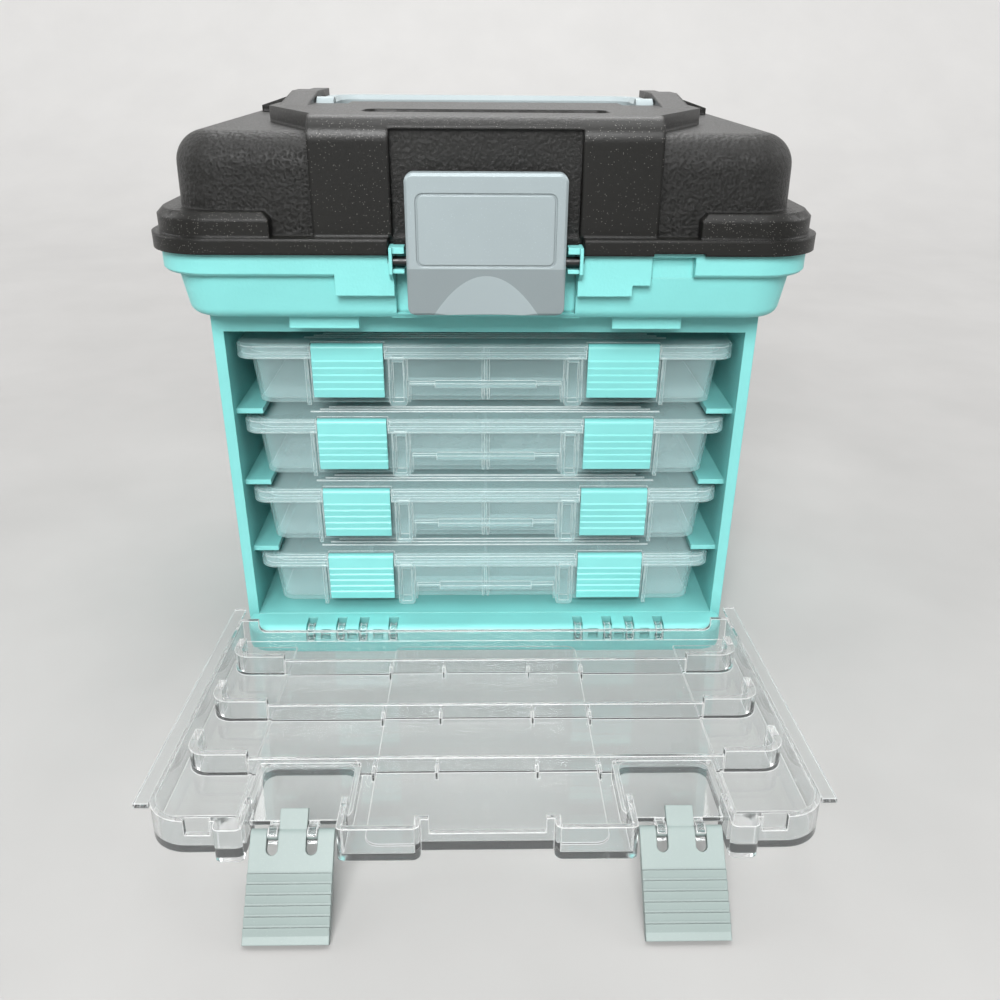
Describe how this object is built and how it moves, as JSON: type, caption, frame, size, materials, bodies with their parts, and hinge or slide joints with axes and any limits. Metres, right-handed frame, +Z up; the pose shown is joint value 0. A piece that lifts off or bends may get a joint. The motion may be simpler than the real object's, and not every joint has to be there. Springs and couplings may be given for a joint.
{
  "type": "craft storage rack",
  "caption": "Carry case for craft supplies: lidded top tub with a folding handle over stacked utility boxes that slide out behind a drop-down clear door.",
  "frame": {"origin": "centre of the base's underside", "axes": "+X to the right as seen from the front, +Y to the back, +Z up"},
  "size_m": [0.2794, 0.3497, 0.261],
  "materials": {
    "teal_case": "moulded, satin",
    "teal_tub": "moulded, fine grain",
    "black_lid": "moulded, leather grain",
    "silver_latch": "moulded, fine sparkle",
    "grey_latch": "moulded, satin",
    "grey_handle": "moulded, satin",
    "clear_door": "clear, polished",
    "frosted_box": "frosted, translucent",
    "teal_latch": "moulded, satin",
    "dark_pin": "blackened"
  },
  "bodies": {
    "case": {"rack_case": "teal_case", "top_tub": "teal_tub", "main_latch_pin": "dark_pin", "lid_hinge_pins": "dark_pin"},
    "front_door": {"front_door": "clear_door"},
    "door_latch_left": {"door_latch_left": "grey_latch"},
    "door_latch_right": {"door_latch_right": "grey_latch"},
    "main_latch": {"main_latch": "silver_latch"},
    "top_lid": {"top_lid": "black_lid"},
    "carry_handle": {"carry_handle": "grey_handle"},
    "box_1": {"box_1_tray": "frosted_box", "box_1_lid": "frosted_box", "box_1_dividers": "frosted_box"},
    "box_1_latch_left": {"box_1_latch_left": "teal_latch"},
    "box_1_latch_right": {"box_1_latch_right": "teal_latch"},
    "box_2": {"box_2_tray": "frosted_box", "box_2_lid": "frosted_box", "box_2_dividers": "frosted_box"},
    "box_2_latch_left": {"box_2_latch_left": "teal_latch"},
    "box_2_latch_right": {"box_2_latch_right": "teal_latch"},
    "box_3": {"box_3_tray": "frosted_box", "box_3_lid": "frosted_box", "box_3_dividers": "frosted_box"},
    "box_3_latch_left": {"box_3_latch_left": "teal_latch"},
    "box_3_latch_right": {"box_3_latch_right": "teal_latch"},
    "box_4": {"box_4_tray": "frosted_box", "box_4_lid": "frosted_box", "box_4_dividers": "frosted_box"},
    "box_4_latch_left": {"box_4_latch_left": "teal_latch"},
    "box_4_latch_right": {"box_4_latch_right": "teal_latch"}
  },
  "joints": [
    {"name": "front_door_hinge", "type": "hinge", "parent": "case", "child": "front_door", "pos_m": [0, -0.0735, 0.0115], "axis": [1, 0, 0], "range_deg": [-85, 0]},
    {"name": "door_latch_left_hinge", "type": "hinge", "parent": "front_door", "child": "door_latch_left", "pos_m": [-0.07, -0.22349, 0.02502], "axis": [-1, 0, 0], "range_deg": [-131.88, 0]},
    {"name": "door_latch_right_hinge", "type": "hinge", "parent": "front_door", "child": "door_latch_right", "pos_m": [0.07, -0.22349, 0.02502], "axis": [-1, 0, 0], "range_deg": [-131.88, 0]},
    {"name": "main_latch_hinge", "type": "hinge", "parent": "case", "child": "main_latch", "pos_m": [0, -0.0925, 0.2025], "axis": [1, 0, 0], "range_deg": [0, 25]},
    {"name": "top_lid_hinge", "type": "hinge", "parent": "case", "child": "top_lid", "pos_m": [0, 0.095, 0.2066], "axis": [-1, 0, 0], "range_deg": [0, 100]},
    {"name": "carry_handle_hinge", "type": "hinge", "parent": "top_lid", "child": "carry_handle", "pos_m": [0, 0.004, 0.2543], "axis": [1, 0, 0], "range_deg": [0, 90]},
    {"name": "box_1_slide", "type": "slide", "parent": "case", "child": "box_1", "axis": [0, -1, 0], "range_m": [0, 0.04]},
    {"name": "box_1_latch_left_hinge", "type": "hinge", "parent": "box_1", "child": "box_1_latch_left", "pos_m": [-0.064, -0.0559, 0.0442], "axis": [-1, 0, 0], "range_deg": [0, 90]},
    {"name": "box_1_latch_right_hinge", "type": "hinge", "parent": "box_1", "child": "box_1_latch_right", "pos_m": [0.064, -0.0559, 0.0442], "axis": [-1, 0, 0], "range_deg": [0, 90]},
    {"name": "box_2_slide", "type": "slide", "parent": "case", "child": "box_2", "axis": [0, -1, 0], "range_m": [0, 0.15]},
    {"name": "box_2_latch_left_hinge", "type": "hinge", "parent": "box_2", "child": "box_2_latch_left", "pos_m": [-0.064, -0.0559, 0.0812], "axis": [-1, 0, 0], "range_deg": [0, 90]},
    {"name": "box_2_latch_right_hinge", "type": "hinge", "parent": "box_2", "child": "box_2_latch_right", "pos_m": [0.064, -0.0559, 0.0812], "axis": [-1, 0, 0], "range_deg": [0, 90]},
    {"name": "box_3_slide", "type": "slide", "parent": "case", "child": "box_3", "axis": [0, -1, 0], "range_m": [0, 0.15]},
    {"name": "box_3_latch_left_hinge", "type": "hinge", "parent": "box_3", "child": "box_3_latch_left", "pos_m": [-0.064, -0.0559, 0.1182], "axis": [-1, 0, 0], "range_deg": [0, 90]},
    {"name": "box_3_latch_right_hinge", "type": "hinge", "parent": "box_3", "child": "box_3_latch_right", "pos_m": [0.064, -0.0559, 0.1182], "axis": [-1, 0, 0], "range_deg": [0, 90]},
    {"name": "box_4_slide", "type": "slide", "parent": "case", "child": "box_4", "axis": [0, -1, 0], "range_m": [0, 0.15]},
    {"name": "box_4_latch_left_hinge", "type": "hinge", "parent": "box_4", "child": "box_4_latch_left", "pos_m": [-0.064, -0.0559, 0.1552], "axis": [-1, 0, 0], "range_deg": [0, 90]},
    {"name": "box_4_latch_right_hinge", "type": "hinge", "parent": "box_4", "child": "box_4_latch_right", "pos_m": [0.064, -0.0559, 0.1552], "axis": [-1, 0, 0], "range_deg": [0, 90]}
  ]
}
